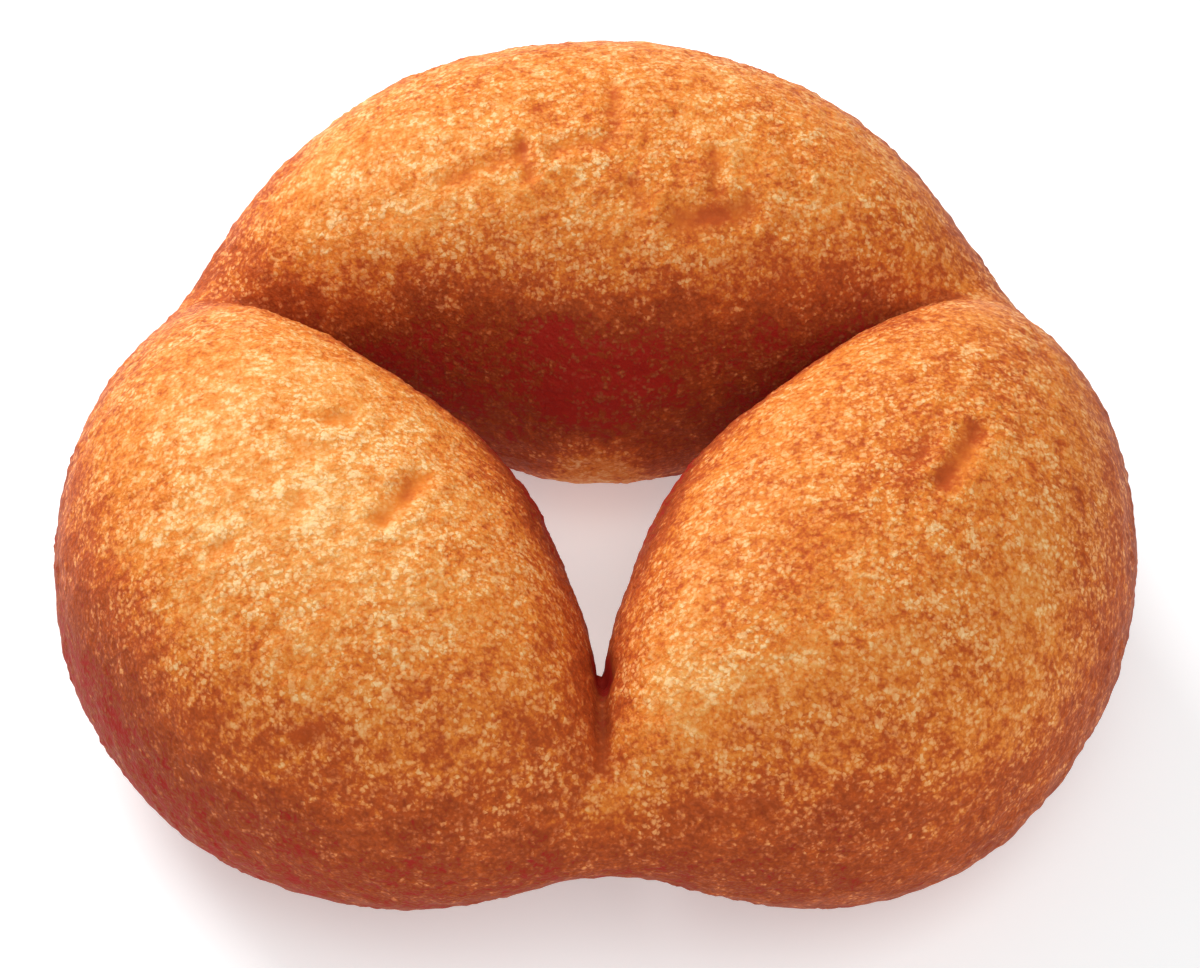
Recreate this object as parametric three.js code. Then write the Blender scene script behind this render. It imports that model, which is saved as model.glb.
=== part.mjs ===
// Sweet potato doughnut: one fried ring of three plump lobes, pinched together at three necks
// round a three-pointed hole. Millimetres, +Z up. It rests on the flat spots under its lobes,
// and the origin is on the table, below the middle of the ring's box. +X is along the longest
// side, and one lobe points to +Y.

import * as THREE from 'three';

// Driving dimensions. Bearings are degrees anticlockwise from +X round the hole's axis, and
// places round a section are degrees from its outer side, with 90 on top and 180 at the hole.

// The middle of each lobe: how far it reaches from the axis, how close it comes to the axis,
// and how high its crown stands.
const LOBES = [
  { bearing: 91, outer: 45.4, inner: 6.4, crown: 33.1 },
  { bearing: 211, outer: 45.7, inner: 6.1, crown: 33.5 },
  { bearing: 328, outer: 45.5, inner: 6.2, crown: 33.3 },
];

// The neck that follows each lobe: where its middle is, and its half width and half height.
const NECKS = [
  { bearing: 152, radius: 31.8, height: 15.8, halfWidth: 7.8, halfHeight: 5.7 },
  { bearing: 270, radius: 28.7, height: 16.5, halfWidth: 8.7, halfHeight: 6.2 },
  { bearing: 26, radius: 30.0, height: 15.1, halfWidth: 9.1, halfHeight: 7.7 },
];

// A lobe's section is two half superellipses that meet at the belt, its widest line. Its lowest
// line is a little below the table, and what would be under the table is pressed flat on it.
const SUNK = 0.8;
const BELT_SHARE = 0.43;
const CROWN_POWER = 2.15;
const BELLY_POWER = 2.25;
const NECK_POWER = 2.25;

// How a lobe falls to its necks on each side of the section: power is how long it stays full,
// root is how bluntly it ends, and rounding is the softness of the crease, as a share of the way.
const FALLS = {
  outer: { power: 2.0, root: 1.35, rounding: 0.27 },
  top: { power: 2.4, root: 3.4, rounding: 0.03 },
  inner: { power: 2.6, root: 2.4, rounding: 0.03 },
  bottom: { power: 2.4, root: 1.45, rounding: 0.11 },
};

// Soft swells and hollows that make the lobes unlike each other.
const SWELLS = [
  { bearing: 260, place: -25, reach: 8.5, height: 0.9 },
  { bearing: 295, place: -40, reach: 8.5, height: 0.4 },
  { bearing: 310, place: -35, reach: 6.5, height: 0.4 },
  { bearing: 325, place: 5, reach: 8.5, height: -0.2 },
  { bearing: 125, place: 30, reach: 10.5, height: -0.2 },
  { bearing: 95, place: 45, reach: 12, height: -0.3 },
  { bearing: 15, place: 15, reach: 9, height: 1.1 },
];

// How finely the crust is divided: sections from a lobe's middle to its neck, and points round each.
const HALF_LOBE_SECTIONS = 18;
const SECTION_POINTS = 40;

const CRUST_COLOUR = 0xd07c35;
const CRUST_ROUGHNESS = 0.6;

const { degToRad, euclideanModulo, lerp } = THREE.MathUtils;

// The shorter way round from one bearing to another, in degrees, anticlockwise positive.
function turnBetween(from, to) {
  return euclideanModulo(to - from + 180, 360) - 180;
}

// The half lobe between lobe k's middle and one of its two necks.
function halfLobe(k, neckIndex) {
  const lobe = LOBES[k];
  const neck = NECKS[neckIndex];
  return { lobe, neck, turn: turnBetween(lobe.bearing, neck.bearing) };
}

const HALF_LOBES = LOBES.flatMap((lobe, k) => {
  const neckBefore = (k + NECKS.length - 1) % NECKS.length;
  return [halfLobe(k, neckBefore), halfLobe(k, k)];
});

// A point of a unit superellipse.
function superellipse(angle, power) {
  const bent = (x) => Math.sign(x) * Math.abs(x) ** (2 / power);
  return { x: bent(Math.cos(angle)), y: bent(Math.sin(angle)) };
}

// Radius and height of the lobe's own section at its middle.
function lobeSection(lobe, angle) {
  const top = Math.sin(angle) >= 0;
  const unit = superellipse(angle, top ? CROWN_POWER : BELLY_POWER);
  const belt = lerp(-SUNK, lobe.crown, BELT_SHARE);
  const halfHeight = top ? lobe.crown - belt : belt + SUNK;
  return {
    radius: (lobe.outer + lobe.inner) / 2 + ((lobe.outer - lobe.inner) / 2) * unit.x,
    height: belt + halfHeight * unit.y,
  };
}

// Radius and height of the neck's section.
function neckSection(neck, angle) {
  const unit = superellipse(angle, NECK_POWER);
  return {
    radius: neck.radius + neck.halfWidth * unit.x,
    height: neck.height + neck.halfHeight * unit.y,
  };
}

// The fall at a place round the section, mixed from the two sides that it lies between.
function fallAt(angle) {
  const across = Math.cos(angle);
  const up = Math.sin(angle);
  const side = across > 0 ? FALLS.outer : FALLS.inner;
  const cap = up > 0 ? FALLS.top : FALLS.bottom;
  const mix = (name) => side[name] * across ** 2 + cap[name] * up ** 2;
  return { power: mix('power'), root: mix('root'), rounding: mix('rounding') };
}

// How full the lobe is a share of the way from its middle to its neck: 1 at the middle, and 0 at
// the neck, where it turns over the crease in a hyperbola.
function fullness(share, fall) {
  const curve = (x) => {
    const toCrease = Math.hypot(1 - x, fall.rounding);
    return (1 - Math.max(1 - toCrease, 0) ** fall.power) ** (1 / fall.root);
  };
  return (curve(share) - curve(1)) / (curve(0) - curve(1));
}

// A point of the crust before its swells.
function smoothPoint(half, share, angle) {
  const lobe = lobeSection(half.lobe, angle);
  const neck = neckSection(half.neck, angle);
  const full = fullness(share, fallAt(angle));
  const radius = lerp(neck.radius, lobe.radius, full);
  const bearing = degToRad(half.lobe.bearing + half.turn * share);
  const height = lerp(neck.height, lobe.height, full);
  return new THREE.Vector3(radius * Math.cos(bearing), radius * Math.sin(bearing), height);
}

// Where the middle of a swell lies on the smooth crust.
function swellCentre({ bearing, place }) {
  const shareAlong = (half) => turnBetween(half.lobe.bearing, bearing) / half.turn;
  const half = HALF_LOBES.find((candidate) => {
    const share = shareAlong(candidate);
    return share >= 0 && share <= 1;
  });
  return smoothPoint(half, shareAlong(half), degToRad(place));
}

const SWELL_CENTRES = SWELLS.map(swellCentre);

// How far the swells lift the crust at a point.
function swellHeight(point) {
  return SWELLS.reduce((sum, { reach, height }, i) => {
    const away = point.distanceTo(SWELL_CENTRES[i]) / reach;
    return sum + height * Math.exp(-(away ** 2) / 2);
  }, 0);
}

// The points of one finished section, with its swells, and pressed flat on the table.
function crustSection(half, share) {
  const points = [];
  for (let j = 0; j < SECTION_POINTS; j++) {
    points.push(smoothPoint(half, share, (j / SECTION_POINTS) * 2 * Math.PI));
  }
  const middle = points.reduce((sum, point) => sum.add(point), new THREE.Vector3());
  middle.divideScalar(SECTION_POINTS);
  for (const point of points) {
    const outward = point.clone().sub(middle).normalize();
    point.addScaledVector(outward, swellHeight(point));
    point.z = Math.max(point.z, 0);
  }
  return points;
}

// All the sections round the ring. They crowd towards the necks, where the crust turns fastest.
function ringSections() {
  const sections = [];
  for (let k = 0; k < LOBES.length; k++) {
    const [before, after] = HALF_LOBES.slice(2 * k, 2 * k + 2);
    for (let i = -HALF_LOBE_SECTIONS; i < HALF_LOBE_SECTIONS; i++) {
      const share = Math.sin((Math.abs(i) / HALF_LOBE_SECTIONS) * (Math.PI / 2));
      sections.push(crustSection(i < 0 ? before : after, share));
    }
  }
  return sections;
}

// The closed skin through the sections, moved so that the middle of its box is over the origin.
function ringGeometry(sections) {
  const positions = sections.flat().flatMap((point) => point.toArray());
  const triangles = [];
  for (let i = 0; i < sections.length; i++) {
    const next = (i + 1) % sections.length;
    for (let j = 0; j < SECTION_POINTS; j++) {
      const up = (j + 1) % SECTION_POINTS;
      const a = i * SECTION_POINTS + j;
      const b = next * SECTION_POINTS + j;
      const c = next * SECTION_POINTS + up;
      const d = i * SECTION_POINTS + up;
      triangles.push(a, b, c, a, c, d);
    }
  }
  const geometry = new THREE.BufferGeometry();
  geometry.setAttribute('position', new THREE.Float32BufferAttribute(positions, 3));
  geometry.setIndex(triangles);
  geometry.computeBoundingBox();
  const centre = geometry.boundingBox.getCenter(new THREE.Vector3());
  geometry.translate(-centre.x, -centre.y, 0);
  geometry.computeVertexNormals();
  return geometry;
}

function makeDoughnut() {
  const crust = new THREE.MeshStandardMaterial({
    name: 'fried_crust',
    color: CRUST_COLOUR,
    roughness: CRUST_ROUGHNESS,
    metalness: 0,
  });
  const ring = new THREE.Mesh(ringGeometry(ringSections()), crust);
  ring.name = 'doughnut';
  const group = new THREE.Group();
  group.name = 'sweet_potato_doughnut';
  group.add(ring);
  return group;
}

export default makeDoughnut();
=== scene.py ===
"""A sweet potato doughnut: one fried ring of three lobes, resting on a pale studio floor."""

import math

import bmesh
import bpy
import numpy as np
from mathutils import Euler, Matrix, Vector, noise


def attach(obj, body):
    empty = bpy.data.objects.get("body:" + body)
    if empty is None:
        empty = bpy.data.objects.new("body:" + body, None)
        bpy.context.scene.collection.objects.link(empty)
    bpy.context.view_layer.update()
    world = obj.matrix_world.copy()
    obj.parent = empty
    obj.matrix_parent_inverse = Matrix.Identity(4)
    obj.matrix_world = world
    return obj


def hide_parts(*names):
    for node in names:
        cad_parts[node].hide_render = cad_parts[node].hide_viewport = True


bl_info = {
    "name": "Sweet potato doughnut",
    "version": (1, 0, 0),
    "blender": (4, 5, 0),
    "location": "View3D > Sidebar > Doughnut",
    "description": "Builds a fried ring doughnut of three lobes on a pale studio floor",
    "category": "Object",
}

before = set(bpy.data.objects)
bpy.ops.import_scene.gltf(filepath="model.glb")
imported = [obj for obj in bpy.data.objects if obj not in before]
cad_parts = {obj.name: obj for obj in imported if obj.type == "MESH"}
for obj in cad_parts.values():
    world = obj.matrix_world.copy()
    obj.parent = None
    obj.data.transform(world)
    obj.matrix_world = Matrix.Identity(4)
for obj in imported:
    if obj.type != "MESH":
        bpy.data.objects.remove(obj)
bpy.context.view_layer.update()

MM = 0.001

# Wrinkles that the setting crust left on top of the lobes. Each is a line of plan points in
# millimetres, with its share of the full depth and its half width.
WRINKLES = [
    ([(-12.2, 16.7), (-9.9, 17.5), (-7.6, 18.2), (-5.9, 19.1)], 0.6, 0.8),
    ([(-5.9, 20.1), (-5.6, 18.3), (-5.3, 16.6)], 0.8, 0.7),
    ([(-3.4, 18.9), (-1.0, 19.7), (1.6, 20.0)], 0.6, 0.8),
    ([(1.6, 26.4), (1.7, 23.9), (1.8, 21.6)], 0.6, 0.7),
    ([(10.0, 19.2), (10.1, 17.2), (9.9, 15.4)], 0.7, 0.7),
    ([(7.1, 12.9), (9.8, 13.3), (12.4, 14.2)], 0.9, 1.2),
    ([(15.8, 20.6), (16.2, 19.1), (16.7, 17.8)], 0.5, 0.7),
    ([(3.2, 15.7), (3.7, 14.0), (4.0, 12.3)], 0.5, 0.8),
    ([(-16.7, -20.5), (-15.2, -18.1), (-13.8, -15.5)], 1.0, 0.9),
    ([(-21.0, -10.2), (-19.8, -9.8)], 0.8, 0.9),
    ([(-23.4, -12.7), (-22.3, -13.9), (-21.1, -13.8)], 0.6, 0.8),
    ([(-23.6, -20.1), (-22.9, -18.0)], 0.5, 0.8),
    ([(-29.6, -22.2), (-28.4, -21.7)], 0.6, 0.7),
    ([(26.9, -16.8), (28.4, -14.1), (29.6, -11.3)], 1.0, 0.9),
    ([(24.9, -15.0), (25.9, -12.6)], 0.5, 0.8),
]

# Beside a wrinkle lies a low lip: its height as a share of the depth, how many half widths away
# it is, and how widely it spreads
LIP_HEIGHT = 0.3
LIP_PLACE = 2.0
LIP_SPREAD = 0.6

# Dents: a line of points in millimetres, how far the crust is pushed along it, and its half
# width. The front crease runs from the hole's front point over the neck.
DENTS = [
    ([(0.1, -23.3, 14.5), (0.1, -22.8, 16.5), (0.1, -23.6, 19.3)], (0.0, -1.2, -0.6), 0.9),
    ([(0.1, -24.4, 20.3), (0.2, -25.8, 21.5)], (0.0, -0.9, -1.3), 0.8),
    ([(0.2, -26.6, 22.4), (0.5, -28.0, 22.7)], (0.2, -0.3, -1.4), 0.8),
    ([(0.4, -29.6, 22.8), (0.2, -32.5, 22.8), (0.0, -36.5, 22.2)], (0.0, 0.0, -0.5), 0.6),
    ([(-22.9, -36.4, 26.0), (-21.3, -36.1, 26.5)], (0.2, 0.4, -0.3), 0.7),
    ([(10.8, -40.2, 22.4), (12.6, -40.3, 22.0)], (0.0, 0.4, -0.1), 0.5),
    ([(8.6, -40.4, 21.3), (10.0, -40.5, 21.0)], (0.0, 0.3, -0.1), 0.5),
]

# Places painted browner or paler than the rest: a point in millimetres, its reach and how much
# browner it is. Left and right are as seen from the front, at -Y. Some are browner crust, such
# as the two reddish patches. Many are painted shade where less light falls: the left flank, the
# ends of the back lobe's wall, the left lobe's slopes to the front crease and to the hole, the
# back left neck and the right lobe's crown. Others are painted light where more light falls: the
# left lobe's crown, the right flank, the right of the front crease and the right lobe's slope to
# the hole; the back lobe's left shoulder is paler crust with a painted sheen.
TANS_AND_PAINTED_LIGHT = [
    ((-39, -25, 17), 9, 0.14),  # left flank
    ((-30, -36, 14), 9, 0.05),  # foot of the left lobe
    ((-12, -42, 14), 8, 0.04),  # front of the left lobe's foot
    ((31, -34, 18), 9, -0.1),  # front of the right flank
    ((38, -24, 21), 8, -0.08),  # right flank
    ((-24, -33, 24), 6, -0.04),  # front shoulder of the left lobe
    ((-3, -33, 25), 5, 0.14),  # left of the front crease
    ((5.5, -33, 27), 4, -0.18),  # right of the front crease
    ((-19, 14, 28), 8, -0.18),  # left shoulder of the back lobe
    ((21, 17, 29), 8, -0.04),  # right shoulder of the back lobe
    ((-15, 9, 21), 7, 0.26),  # left end of the back lobe's wall at the hole
    ((17, 8, 23), 7, 0.2),  # right end of the same wall
    ((-24, -18, 32), 10, -0.19),  # crown of the left lobe
    ((26, -14, 32), 9, 0.08),  # crown of the right lobe
    ((-8, -13, 25), 4, 0.16),  # left lobe's slope to the hole
    ((14, -3, 28), 6, -0.12),  # right lobe's slope to the hole
    ((-30, 20, 20), 7, 0.02),  # left rim of the back lobe
    ((30, 20, 20), 7, 0.07),  # right rim of the back lobe
    ((-29, 14, 22), 5, 0.16),  # back left neck
    ((4.3, 16.6, 32), 2.5, 0.1),  # reddish patch on the back lobe
    ((15.4, -24, 32.5), 2.5, 0.08),  # reddish patch on the right lobe
]

# How much each of these browns the crust, darkens it with painted shade or pales it with
# painted light, where 0 is cream and 1 is the deepest maroon
TOP_BROWNING = 0.4
# The steep sides are painted browner: partly browner crust and partly painted shade for the light
# that falls less on them
STEEP_BROWNING_AND_SHADE = 0.42
# Painted shade: the hole's wall is painted dark red for the shade in the hole and the red light
# bounced there
WALL_SHADE = 0.36
# Painted light: the foot of the hole's wall is painted paler for light bounced up from the floor
LOW_WALL_BOUNCE_LIGHT = 0.45
# Painted shade: the creases are painted darker for the shade that falls in them
CREASE_SHADE = 0.22
WRINKLE_BROWNING = 0.16
# The dents are painted darker; in the front crease's pocket this is painted shade
DENT_DARKENING = 0.25
MOST_BROWNING = 1.02

# Wrinkles and dents take away the crust's grain, up to this share of it
MOST_SMOOTHNESS = 0.85

# How far the crust faces up as it turns from steep to level, how far it faces up before it has
# wrinkles, and how far it faces the hole and how steep it is before it counts as the hole's wall
LEVEL_SPAN = (-0.1, 1.0)
WRINKLED_SPAN = (0.1, 0.5)
FACING_HOLE_SPAN = (0.2, 0.8)
STEEP_WALL_SPAN = (0.1, 0.5)

# Spans in millimetres: the heights over which the painted shade on the hole's wall grows darker
# and its painted bounce light fades, and the depths over which a hollow takes on its painted
# shade and comes to count as a crease
HIGH_WALL_SPAN = (10, 20)
LOW_WALL_SPAN = (6, 21)
SHADED_HOLLOW_SPAN = (0.0, 0.8)
CREASE_SPAN = (0.3, 1.3)

# Relief of the crust: the size of each kind of bump in millimetres, and a shift that keeps its
# pattern apart from the others
LUMPS = {"size_mm": 9.0, "shift": 3.1}
RIPPLES = {"size_mm": 2.6, "shift": 7.7}
COARSE_BLISTERS = {"size_mm": 1.7, "shift": 1.3}
FINE_BLISTERS = {"size_mm": 0.95, "shift": 4.9}
FINE_CROWDS = {"size_mm": 3.5, "shift": 11.3}
CROWD_SPAN = (-0.5, 0.5)

# A blister reaches this share of its pattern's size from its middle, and this share of its
# height lies under the crust's own level. A coarse one has this share of a fine one's height.
BLISTER_REACH = 0.6
BLISTER_LEVEL = 0.4
COARSE_SHARE = 0.6

# Making of the mesh: the widest gap that is welded, the most that two triangles may fold and
# skew and still be joined, and the rounds that take away facets, voxel steps and whole creases
WELD_DISTANCE = 0.001 * MM
MOST_FOLD = math.radians(60)
MOST_SKEW = math.radians(80)
SUBDIVISIONS = 2
STEP_SMOOTHING = 8
CREASE_SMOOTHING = 200
MOST_TRIANGLES = 196000

# Noises of the crust's material: size in millimetres, detail and roughness
CRUST_NOISES = {
    "blotches": (6.0, 2.0, 0.5),
    "patches": (2.6, 3.0, 0.65),
    "grit": (0.8, 3.0, 0.7),
}

# Blisters and flakes of the material are cells of these sizes. Their edges wander this far, with
# a noise of this size and detail. All but the detail are in millimetres.
BLISTER_SIZE = 0.33
FLAKE_SIZE = 0.36
WANDER_REACH = 0.4
WANDER_SIZE = 0.45
WANDER_DETAIL = 2.0

# The grain is made of blisters and grit in these shares, and starch lies on it. The material
# draws it as bumps of this height in millimetres.
BLISTER_SHARE = 0.35
GRIT_SHARE = 1.2
STARCH_SHARE = 0.15
BUMP_HEIGHT = 0.14

# How much each pattern browns the crust. The grain's raised blisters are painted paler, partly
# thinner crust and partly a painted highlight on their tops.
BLOTCH_BROWNING = 0.3
PATCH_BROWNING = -0.48
GRAIN_TONE_AND_HIGHLIGHT = -0.6
STARCH_BROWNING = -0.22

# How far the blotches crowd the flakes, where the patches count fully
BLOTCH_CROWDING = 0.5

# Each of these turns one span of values into another: crowding into cover, how brown and
# shaded the crust is painted into more or fewer flakes, a flake's chance into its thickness, the
# same into how far starch keeps its own colour, and patches into roughness
CROWDING_TO_COVER = (-0.14, 0.14, 0.3, 1.0)
BROWNING_TO_CHANCE = (0.4, 0.85, 0.12, -0.12)
CHANCE_TO_THICKNESS = (0.0, 0.6, 0.0, 1.0)
BROWNING_TO_OWN_COLOUR = (0.0, 0.7, 0.5, 0.06)
PATCHES_TO_ROUGHNESS = (-0.2, 0.2, 0.6, 0.42)

# Where the colours between cream, at 0, and the deepest maroon, at 1, lie
MIDDLE_STOPS = {"golden": 0.2, "amber": 0.4, "russet": 0.6, "maroon": 0.84}

# Soft lights: where each stands and how wide it is, in metres
REAR_LIGHT = {"place": (-0.25, 0.33, 0.29), "size": 0.3}
FRONT_LIGHT = {"place": (0.10, -0.22, 0.44), "size": 0.4}

FLOOR_REACH = 3.0
CLIP_START = 10 * MM


def linear(hex_colour):
    """An sRGB hex colour as linear RGBA."""
    values = [int(hex_colour[i : i + 2], 16) / 255 for i in (1, 3, 5)]
    return [v / 12.92 if v <= 0.04045 else ((v + 0.055) / 1.055) ** 2.4 for v in values] + [1.0]


class CrustSettings(bpy.types.PropertyGroup):
    """Sizes and colours of the fried crust."""

    grain: bpy.props.FloatProperty(
        name="Mesh grain",
        description="Edge length of the crust's mesh before it is thinned out",
        default=0.34 * MM,
        subtype="DISTANCE",
    )
    lump_height: bpy.props.FloatProperty(
        name="Lump height",
        description="Height of the soft lumps, about a fingertip across",
        default=0.16 * MM,
        subtype="DISTANCE",
    )
    ripple_height: bpy.props.FloatProperty(
        name="Ripple height",
        description="Height of the ripples between the lumps and the blisters",
        default=0.11 * MM,
        subtype="DISTANCE",
    )
    blister_height: bpy.props.FloatProperty(
        name="Blister height",
        description="Height of the blisters that show along the outline",
        default=0.2 * MM,
        subtype="DISTANCE",
    )
    crease_depth: bpy.props.FloatProperty(
        name="Crease depth",
        description="How much deeper the creases between the lobes are than in the solid",
        default=0.5 * MM,
        subtype="DISTANCE",
    )
    wrinkle_depth: bpy.props.FloatProperty(
        name="Wrinkle depth",
        description="Depth of the deepest wrinkles on top of the lobes",
        default=0.32 * MM,
        subtype="DISTANCE",
    )
    starch: bpy.props.FloatVectorProperty(
        name="Starch",
        description="Flakes of dried starch on the crust",
        subtype="COLOR",
        size=4,
        default=linear("#FFD9A6"),
    )
    cream: bpy.props.FloatVectorProperty(
        name="Cream",
        description="Palest crust, hardly browned",
        subtype="COLOR",
        size=4,
        default=linear("#FCCB8A"),
    )
    golden: bpy.props.FloatVectorProperty(
        name="Golden",
        description="Crust on top of the lobes",
        subtype="COLOR",
        size=4,
        default=linear("#EDA254"),
    )
    amber: bpy.props.FloatVectorProperty(
        name="Amber",
        description="Crust on the shoulders",
        subtype="COLOR",
        size=4,
        default=linear("#E48232"),
    )
    # On the steep sides this russet is partly browner crust and partly painted shade
    russet: bpy.props.FloatVectorProperty(
        name="Russet",
        description="Crust on the steep sides",
        subtype="COLOR",
        size=4,
        default=linear("#C05625"),
    )
    # Round the hole this maroon is painted shade; low on the sides it is partly browner crust and
    # partly painted shade
    maroon: bpy.props.FloatVectorProperty(
        name="Maroon",
        description="Dark crust low on the sides and round the hole",
        subtype="COLOR",
        size=4,
        default=linear("#9A421F"),
    )
    # Painted shade: this reddest maroon paints the creases and the hole's wall for their shade
    # and the red light bounced between the lobes; the brownest patches on the sides reach towards
    # it too
    shade_maroon: bpy.props.FloatVectorProperty(
        name="Deep maroon",
        description="Reddest crust, in the creases and on the wall of the hole",
        subtype="COLOR",
        size=4,
        default=linear("#A5291F"),
    )


class StageSettings(bpy.types.PropertyGroup):
    """Camera, floor and lights."""

    view_height: bpy.props.FloatProperty(
        name="View height",
        description="Angle of the camera above the horizon",
        default=math.radians(50.0),
        subtype="ANGLE",
    )
    view_turn: bpy.props.FloatProperty(
        name="View turn",
        description="Turn of the camera round the doughnut, clockwise from above",
        default=math.radians(1.2),
        subtype="ANGLE",
    )
    view_roll: bpy.props.FloatProperty(
        name="View roll",
        description="Tilt of the camera about its own line of sight",
        default=math.radians(0.6),
        subtype="ANGLE",
    )
    view_distance: bpy.props.FloatProperty(
        name="View distance",
        description="Distance from the camera to the point it looks at",
        default=435 * MM,
        subtype="DISTANCE",
    )
    view_target: bpy.props.FloatVectorProperty(
        name="View target",
        description="Point that the camera looks at",
        default=(0.4 * MM, -2.8 * MM, 16.0 * MM),
        subtype="TRANSLATION",
    )
    lens: bpy.props.FloatProperty(
        name="Lens",
        description="Focal length of the camera, in millimetres on a 36 mm sensor",
        default=159.7,
        subtype="DISTANCE_CAMERA",
    )
    floor_colour: bpy.props.FloatVectorProperty(
        name="Floor colour",
        description="Colour of the studio floor",
        subtype="COLOR",
        size=4,
        default=linear("#EEF1F2"),
    )
    floor_glow: bpy.props.FloatProperty(
        name="Floor glow",
        description="Strength of the light that comes through the floor from below",
        default=0.42,
    )
    rear_power: bpy.props.FloatProperty(
        name="Rear light",
        description="Power of the soft light above the back left of the doughnut, in watts",
        default=2.56,
        subtype="POWER",
    )
    front_power: bpy.props.FloatProperty(
        name="Front light",
        description="Power of the soft light above the front right of the doughnut, in watts",
        default=0.95,
        subtype="POWER",
    )
    surround: bpy.props.FloatProperty(
        name="Surround",
        description="Strength of the light that comes from all round",
        default=0.36,
    )


def new_material(name):
    """An empty material and its node tree."""
    material = bpy.data.materials.new(name)
    material.use_nodes = True
    material.node_tree.nodes.clear()
    return material, material.node_tree


def add_node(tree, kind, settings=None, inputs=()):
    """Adds a node with its settings. Its inputs are given by name, or in the node's own order,
    and each takes a value, another node's first output, or the output that is given."""
    node = tree.nodes.new(kind)
    for name, value in (settings or {}).items():
        setattr(node, name, value)
    sources = inputs if isinstance(inputs, dict) else dict(enumerate(inputs))
    for name, source in sources.items():
        if isinstance(source, bpy.types.Node):
            source = source.outputs[0]
        if isinstance(source, bpy.types.NodeSocket):
            tree.links.new(source, node.inputs[name])
        else:
            node.inputs[name].default_value = source
    return node


def weighted_sum(tree, start, shares):
    """A value with shares of other values added to it."""
    for value, share in shares:
        start = add_node(
            tree, "ShaderNodeMath", {"operation": "MULTIPLY_ADD"}, (value, share, start)
        )
    return start


def crust_noises(tree, place):
    """The crust's noises by name. Each swings about zero, by half at most."""
    noises = {}
    for name, (size_mm, detail, roughness) in CRUST_NOISES.items():
        pattern = add_node(
            tree,
            "ShaderNodeTexNoise",
            inputs={
                "Vector": place,
                "Scale": 1 / (size_mm * MM),
                "Detail": detail,
                "Roughness": roughness,
            },
        )
        noises[name] = add_node(tree, "ShaderNodeMath", {"operation": "SUBTRACT"}, (pattern, 0.5))
    return noises


def crust_cells(tree, place):
    """The blisters' cells and the flakes' cells, both with wandering edges."""
    wander = add_node(
        tree,
        "ShaderNodeTexNoise",
        inputs={"Vector": place, "Scale": 1 / (WANDER_SIZE * MM), "Detail": WANDER_DETAIL},
    )
    reach = [WANDER_REACH * MM] * 3
    wandering = add_node(
        tree,
        "ShaderNodeVectorMath",
        {"operation": "MULTIPLY_ADD"},
        (wander.outputs["Color"], reach, place),
    )
    return [
        add_node(
            tree,
            "ShaderNodeTexVoronoi",
            inputs={"Vector": wandering, "Scale": 1 / (size_mm * MM)},
        )
        for size_mm in (BLISTER_SIZE, FLAKE_SIZE)
    ]


def starch_cover(tree, noises, cells, browning, rough):
    """How thickly flakes of dried starch cover the crust. A flake fills a cell that drew a high
    lot, away from its edge, and more cells do where the crust is paler, less brown and less
    painted with shade. The flakes lie in crowds, where the noises run high."""
    crowding = weighted_sum(tree, noises["patches"], [(noises["blotches"], BLOTCH_CROWDING)])
    crowds = add_node(tree, "ShaderNodeMapRange", inputs=(crowding, *CROWDING_TO_COVER))
    lot = add_node(tree, "ShaderNodeSeparateColor", inputs=(cells.outputs["Color"],))
    paleness = add_node(tree, "ShaderNodeMapRange", inputs=(browning, *BROWNING_TO_CHANCE))
    chance = weighted_sum(tree, lot, [(noises["grit"], 1.0), (cells, -1.0), (paleness, 1.0)])
    flakes = add_node(tree, "ShaderNodeMapRange", inputs=(chance, *CHANCE_TO_THICKNESS))
    crowded = add_node(tree, "ShaderNodeMath", {"operation": "MULTIPLY"}, (flakes, crowds))
    return add_node(tree, "ShaderNodeMath", {"operation": "MULTIPLY"}, (crowded, rough))


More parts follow.
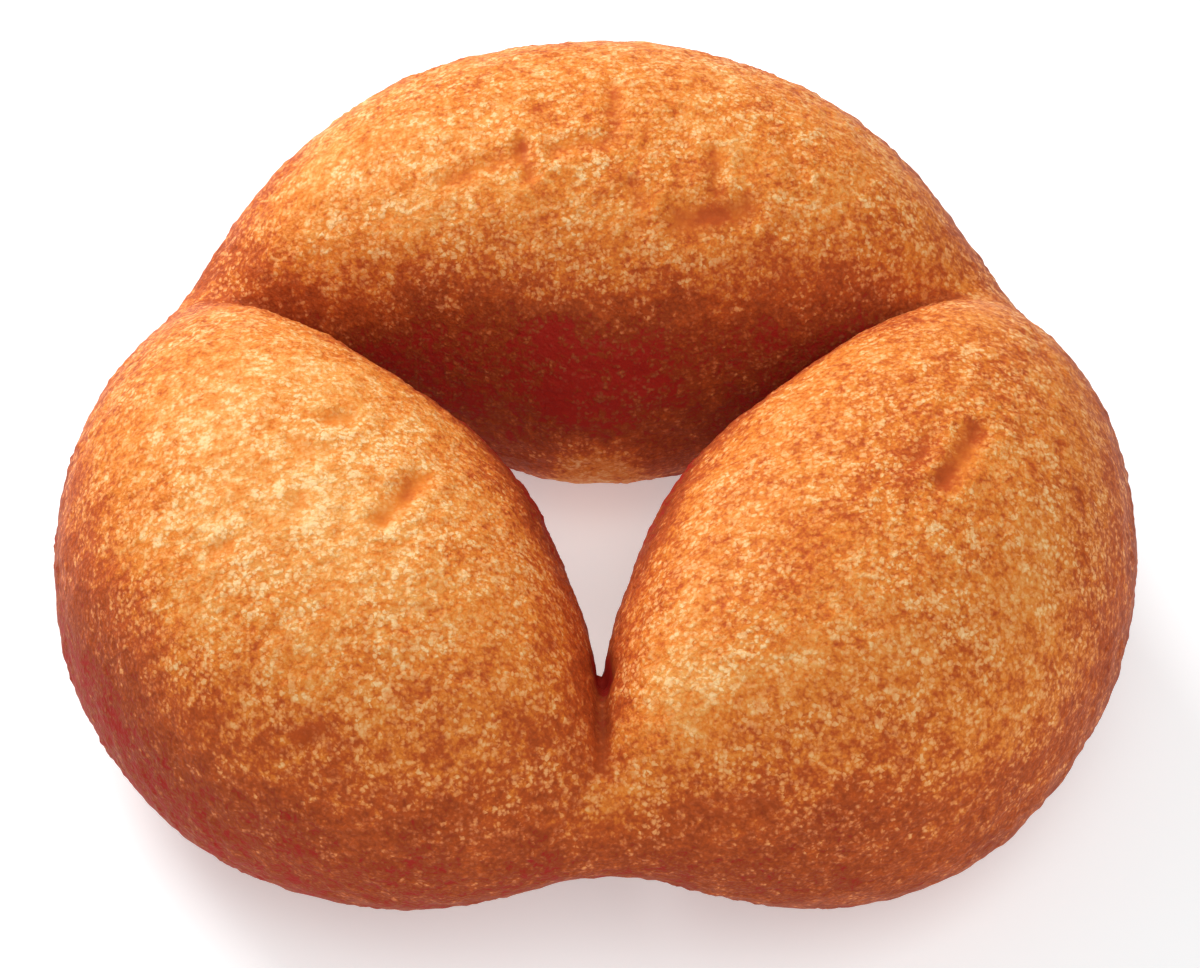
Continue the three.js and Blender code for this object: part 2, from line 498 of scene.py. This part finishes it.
def fried_dough_crust(settings):
    """Fried sweet potato dough. Hot oil sets its starch as a thin brown shell full of fine
    blisters. That gives the eye a dull, slightly oily skin, golden on top and red-brown on the
    steep sides, partly browner crust and partly painted shade, darkest in the creases with
    painted shade, and a fine pale grain that fades in the wrinkles."""
    material, tree = new_material("fried_dough_crust")
    place = add_node(tree, "ShaderNodeTexCoord").outputs["Object"]
    browning, smoothness = [
        add_node(tree, "ShaderNodeAttribute", {"attribute_name": name}).outputs["Fac"]
        for name in ("browning", "smoothness")
    ]
    rough = add_node(tree, "ShaderNodeMath", {"operation": "SUBTRACT"}, (1.0, smoothness))

    # Blisters stand half above and half below the crust's level, with grit all over them
    noises = crust_noises(tree, place)
    blister_cells, flake_cells = crust_cells(tree, place)
    bumps = weighted_sum(
        tree,
        0.5 * BLISTER_SHARE,
        [(blister_cells, -BLISTER_SHARE), (noises["grit"], GRIT_SHARE)],
    )
    grain = add_node(tree, "ShaderNodeMath", {"operation": "MULTIPLY"}, (bumps, rough))
    starch = starch_cover(tree, noises, flake_cells, browning, rough)

    tone_with_painted_light = weighted_sum(
        tree,
        browning,
        [
            (noises["blotches"], BLOTCH_BROWNING),
            (noises["patches"], PATCH_BROWNING),
            (grain, GRAIN_TONE_AND_HIGHLIGHT),
            (starch, STARCH_BROWNING),
        ],
    )
    ramp = add_node(tree, "ShaderNodeValToRGB", inputs=(tone_with_painted_light,))
    stops = ramp.color_ramp.elements
    stops[0].color = settings.cream
    stops[1].color = settings.shade_maroon
    for name, position in MIDDLE_STOPS.items():
        stops.new(position).color = getattr(settings, name)

    # Starch keeps half its own colour on pale crust, and hardly any where the crust is darker,
    # from its own brown and from painted shade
    kept = add_node(tree, "ShaderNodeMapRange", inputs=(tone_with_painted_light, *BROWNING_TO_OWN_COLOUR))
    share = add_node(tree, "ShaderNodeMath", {"operation": "MULTIPLY"}, (starch, kept))
    coloured = add_node(
        tree,
        "ShaderNodeMix",
        {"data_type": "RGBA"},
        {"Factor": share, 6: ramp, 7: settings.starch},
    )

    # Oil leaves the crust between dull and satin
    roughness = add_node(
        tree, "ShaderNodeMapRange", inputs=(noises["patches"], *PATCHES_TO_ROUGHNESS)
    )
    height = weighted_sum(tree, grain, [(starch, STARCH_SHARE)])
    bump = add_node(
        tree,
        "ShaderNodeBump",
        inputs={"Height": height, "Distance": BUMP_HEIGHT * MM, "Strength": 1.0},
    )
    shader = add_node(
        tree,
        "ShaderNodeBsdfPrincipled",
        inputs={
            "Base Color": coloured.outputs[2],
            "Roughness": roughness,
            "Normal": bump,
            "IOR": 1.45,
            "Specular IOR Level": 0.05,
            "Subsurface Weight": 0.1,
            "Subsurface Radius": (1.0, 0.35, 0.15),
            "Subsurface Scale": MM,
        },
    )
    add_node(tree, "ShaderNodeOutputMaterial", inputs={"Surface": shader})
    return material


def matt_paper_sweep(settings):
    """Matt white background paper: no shine and an even pale tone. It also glows, lighting the
    doughnut from below as a light table would.
    """
    material, tree = new_material("matt_paper_sweep")
    shader = add_node(
        tree,
        "ShaderNodeBsdfPrincipled",
        inputs={
            "Base Color": settings.floor_colour,
            "Roughness": 0.9,
            "Emission Color": settings.floor_colour,
            "Emission Strength": settings.floor_glow,
        },
    )
    add_node(tree, "ShaderNodeOutputMaterial", inputs={"Surface": shader})
    return material


def add_object(name, data):
    """A new object in the scene's collection."""
    piece = bpy.data.objects.new(name, data)
    bpy.context.scene.collection.objects.link(piece)
    return piece


def apply_modifier(piece, kind, **settings):
    """Gives the piece's mesh the result of one modifier."""
    modifier = piece.modifiers.new(kind.title(), kind)
    for name, value in settings.items():
        setattr(modifier, name, value)
    depsgraph = bpy.context.evaluated_depsgraph_get()
    shaped = bpy.data.meshes.new_from_object(piece.evaluated_get(depsgraph))
    piece.modifiers.clear()
    old = piece.data
    piece.data = shaped
    bpy.data.meshes.remove(old)


def even_ring(grain):
    """The solid ring with its facets rounded off and a mesh of even grain."""
    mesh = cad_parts["doughnut"].data.copy()
    mesh.materials.clear()
    form = bmesh.new()
    form.from_mesh(mesh)
    bmesh.ops.remove_doubles(form, verts=form.verts, dist=WELD_DISTANCE)
    bmesh.ops.join_triangles(
        form,
        faces=form.faces,
        angle_face_threshold=MOST_FOLD,
        angle_shape_threshold=MOST_SKEW,
    )
    form.to_mesh(mesh)
    form.free()
    ring = add_object("fried_ring", mesh)
    apply_modifier(ring, "SUBSURF", levels=SUBDIVISIONS, render_levels=SUBDIVISIONS)
    apply_modifier(ring, "REMESH", mode="VOXEL", voxel_size=grain)
    apply_modifier(ring, "SMOOTH", factor=0.5, iterations=STEP_SMOOTHING)
    return ring


def thin_out(ring):
    """Joins triangles where the crust is smooth, until the piece holds no more than
    MOST_TRIANGLES.
    """
    triangles = sum(len(face.vertices) - 2 for face in ring.data.polygons)
    apply_modifier(ring, "DECIMATE", ratio=min(1, MOST_TRIANGLES / triangles))


def read_vertices(mesh, attribute):
    """A vector of every vertex, as rows of an array."""
    values = np.empty(len(mesh.vertices) * 3, np.float32)
    mesh.vertices.foreach_get(attribute, values)
    return values.reshape(-1, 3).astype(float)


def store(mesh, name, values):
    """Keeps a value for every vertex, for the material to read."""
    attribute = mesh.attributes.new(name, "FLOAT", "POINT")
    attribute.data.foreach_set("value", values.astype(np.float32))


def smooth_step(low, high, values):
    """0 below low, 1 above high, and a soft rise between."""
    share = np.clip((values - low) / (high - low), 0, 1)
    return share * share * (3 - 2 * share)


def noise_at(points, size_mm, shift):
    """Smooth noise from -1 to 1 at points in millimetres, repeating about every size."""
    offset = Vector((shift, -shift, 2 * shift))
    return np.array([noise.noise(Vector(p) / size_mm + offset) for p in points])


def blisters_at(points, size_mm, shift):
    """Round blisters of about one size, about zero: highest at the middle of each."""
    offset = Vector((shift, shift, -shift))
    nearest = np.array([noise.voronoi(Vector(p) / size_mm + offset)[0][0] for p in points])
    return np.clip(1 - nearest / BLISTER_REACH, 0, 1) - BLISTER_LEVEL


def distance_to_line(points, line):
    """Distance from every point to a line of points, in plan or in space."""
    best = np.full(len(points), np.inf)
    for start, end in zip(line, line[1:]):
        start, end = np.array(start), np.array(end)
        along = end - start
        share = np.clip(((points - start) @ along) / (along @ along), 0, 1)
        best = np.minimum(best, np.linalg.norm(points - start - share[:, None] * along, axis=1))
    return best


def wrinkles_at(points, normals):
    """Share of their full depth that the wrinkles reach, with a low lip along their sides."""
    sunk = np.zeros(len(points))
    for line, share, half_width in WRINKLES:
        away = distance_to_line(points[:, :2], line) / half_width
        lip = LIP_HEIGHT * np.exp(-((away - LIP_PLACE) ** 2) / LIP_SPREAD)
        sunk += share * (np.exp(-(away**2)) - lip)
    return sunk * smooth_step(*WRINKLED_SPAN, normals[:, 2])


def dents_at(points):
    """How far the dents push the crust at every point, in millimetres."""
    pushed = np.zeros((len(points), 3))
    for line, push, half_width in DENTS:
        away = distance_to_line(points, line) / half_width
        pushed += np.exp(-(away**2) / 2)[:, None] * push
    return pushed


def crust_relief(points, hollows, wrinkles, settings):
    """How far the crust stands out from the smooth ring at every point, in millimetres."""
    lumps = noise_at(points, **LUMPS) * settings.lump_height / MM
    ripples = noise_at(points, **RIPPLES) * settings.ripple_height / MM
    coarse = blisters_at(points, **COARSE_BLISTERS) * COARSE_SHARE * settings.blister_height / MM
    fine = blisters_at(points, **FINE_BLISTERS) * settings.blister_height / MM
    fine *= smooth_step(*CROWD_SPAN, noise_at(points, **FINE_CROWDS))
    creases = smooth_step(*CREASE_SPAN, hollows) * settings.crease_depth / MM
    sunk = wrinkles * settings.wrinkle_depth / MM
    return lumps + ripples + coarse + fine - creases - sunk


def hollows_at(ring, points, normals):
    """How deep every point lies in a crease, in millimetres. A ring that is smoothed until its
    creases fill up is further out there, and further in on the swells."""
    filled = add_object("filled_ring", ring.data.copy())
    apply_modifier(filled, "SMOOTH", factor=1.0, iterations=CREASE_SMOOTHING)
    mesh = filled.data
    moved = read_vertices(mesh, "co") / MM - points
    bpy.data.objects.remove(filled)
    bpy.data.meshes.remove(mesh)
    return (moved * normals).sum(axis=1)


def browning_and_painted_light_at(points, normals, hollows):
    """How brown the crust is painted, with painted shade and light in it: palest on top; browner
    where it is steep, partly browner crust and partly painted shade; painted shade where it faces
    the hole and in the creases, darkest there; and paler low on the hole's wall, a painted light
    bounced up from the floor."""
    across = points[:, :2] / np.linalg.norm(points[:, :2], axis=1, keepdims=True)
    faces_hole = np.clip(-(normals[:, :2] * across).sum(axis=1), 0, 1)
    steep = 1 - smooth_step(*LEVEL_SPAN, normals[:, 2])
    wall = smooth_step(*FACING_HOLE_SPAN, faces_hole) * smooth_step(*STEEP_WALL_SPAN, steep)
    high = smooth_step(*HIGH_WALL_SPAN, points[:, 2])
    low = 1 - smooth_step(*LOW_WALL_SPAN, points[:, 2])
    tans_and_painted_light = np.zeros(len(points))
    for place, reach, amount in TANS_AND_PAINTED_LIGHT:
        away = np.linalg.norm(points - place, axis=1) / reach
        tans_and_painted_light += amount * np.exp(-(away**2) / 2)
    return (
        TOP_BROWNING
        + STEEP_BROWNING_AND_SHADE * steep
        + WALL_SHADE * wall * high
        - LOW_WALL_BOUNCE_LIGHT * wall * low
        + CREASE_SHADE * smooth_step(*SHADED_HOLLOW_SPAN, hollows)
        + tans_and_painted_light
    )


class DOUGHNUT_OT_fried_ring(bpy.types.Operator):
    """Build the fried ring over its solid"""

    bl_idname = "doughnut.fried_ring"
    bl_label = "Fried ring"

    def execute(self, context):
        settings = context.scene.doughnut_crust
        ring = even_ring(settings.grain)
        mesh = ring.data
        points = read_vertices(mesh, "co") / MM
        normals = read_vertices(mesh, "normal")
        wrinkles = wrinkles_at(points, normals)
        hollows = hollows_at(ring, points, normals)
        pushed = dents_at(points)
        dents = np.linalg.norm(pushed, axis=1)
        browning = browning_and_painted_light_at(points, normals, hollows)
        # Wrinkles are painted browner, and dents darker, which in the front crease's pocket is
        # painted shade
        browning += WRINKLE_BROWNING * wrinkles + DENT_DARKENING * dents
        store(mesh, "browning", np.minimum(browning, MOST_BROWNING))
        store(mesh, "smoothness", np.clip(wrinkles + dents, 0, MOST_SMOOTHNESS))
        relief = crust_relief(points, hollows, wrinkles, settings)
        points += normals * relief[:, None] + pushed
        points[:, 2] = np.maximum(points[:, 2], 0)
        mesh.vertices.foreach_set("co", (points * MM).astype(np.float32).ravel())
        thin_out(ring)
        ring.data.shade_smooth()
        ring.data.materials.append(fried_dough_crust(settings))
        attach(ring, "root")
        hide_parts("doughnut")
        return {"FINISHED"}


def add_camera(settings):
    """The camera at the photo's angle."""
    data = bpy.data.cameras.new("camera")
    data.lens = settings.lens
    data.clip_start = CLIP_START
    camera = add_object("camera", data)
    sight = Euler((math.pi / 2 - settings.view_height, 0, -settings.view_turn)).to_matrix()
    back = sight @ Vector((0, 0, settings.view_distance))
    roll = Matrix.Rotation(settings.view_roll, 3, "Z")
    place = Matrix.Translation(Vector(settings.view_target) + back)
    camera.matrix_world = place @ (sight @ roll).to_4x4()
    bpy.context.scene.camera = camera


def add_floor(settings):
    """A wide level floor under the doughnut."""
    mesh = bpy.data.meshes.new("floor")
    signs = [(-1, -1), (1, -1), (1, 1), (-1, 1)]
    corners = [(x * FLOOR_REACH, y * FLOOR_REACH, 0) for x, y in signs]
    mesh.from_pydata(corners, [], [(0, 1, 2, 3)])
    mesh.materials.append(matt_paper_sweep(settings))
    add_object("floor", mesh)


def add_soft_light(name, power, place, size):
    """A square soft light that faces the doughnut."""
    data = bpy.data.lights.new(name, "AREA")
    data.size = size
    data.energy = power
    light = add_object(name, data)
    light.location = place
    light.rotation_euler = (-Vector(place)).to_track_quat("-Z", "Y").to_euler()


def add_surround(strength):
    """Even white light from all round."""
    world = bpy.data.worlds.new("studio")
    world.use_nodes = True
    background = world.node_tree.nodes["Background"]
    background.inputs["Color"].default_value = (1, 1, 1, 1)
    background.inputs["Strength"].default_value = strength
    bpy.context.scene.world = world


class DOUGHNUT_OT_stage(bpy.types.Operator):
    """Add the camera, the floor and the lights"""

    bl_idname = "doughnut.stage"
    bl_label = "Stage"

    def execute(self, context):
        settings = context.scene.doughnut_stage
        add_camera(settings)
        add_floor(settings)
        add_soft_light("rear_light", settings.rear_power, **REAR_LIGHT)
        add_soft_light("front_light", settings.front_power, **FRONT_LIGHT)
        add_surround(settings.surround)
        context.scene.view_settings.view_transform = "Standard"
        return {"FINISHED"}


class DOUGHNUT_PT_panel(bpy.types.Panel):
    """Lists the doughnut's pieces and their settings"""

    bl_label = "Doughnut"
    bl_idname = "DOUGHNUT_PT_panel"
    bl_space_type = "VIEW_3D"
    bl_region_type = "UI"
    bl_category = "Doughnut"

    def draw(self, context):
        for group, operator in (
            (context.scene.doughnut_crust, DOUGHNUT_OT_fried_ring),
            (context.scene.doughnut_stage, DOUGHNUT_OT_stage),
        ):
            box = self.layout.box()
            for name in group.__annotations__:
                box.prop(group, name)
            box.operator(operator.bl_idname)


CLASSES = (
    CrustSettings,
    StageSettings,
    DOUGHNUT_OT_fried_ring,
    DOUGHNUT_OT_stage,
    DOUGHNUT_PT_panel,
)


def register():
    """Registers the settings, the operators and the panel."""
    for cls in CLASSES:
        bpy.utils.register_class(cls)
    bpy.types.Scene.doughnut_crust = bpy.props.PointerProperty(type=CrustSettings)
    bpy.types.Scene.doughnut_stage = bpy.props.PointerProperty(type=StageSettings)


def unregister():
    """Takes away what register added."""
    del bpy.types.Scene.doughnut_stage
    del bpy.types.Scene.doughnut_crust
    for cls in reversed(CLASSES):
        bpy.utils.unregister_class(cls)


def main():
    """Builds the scene."""
    register()
    bpy.ops.doughnut.stage()
    bpy.ops.doughnut.fried_ring()


if __name__ == "__main__":
    main()
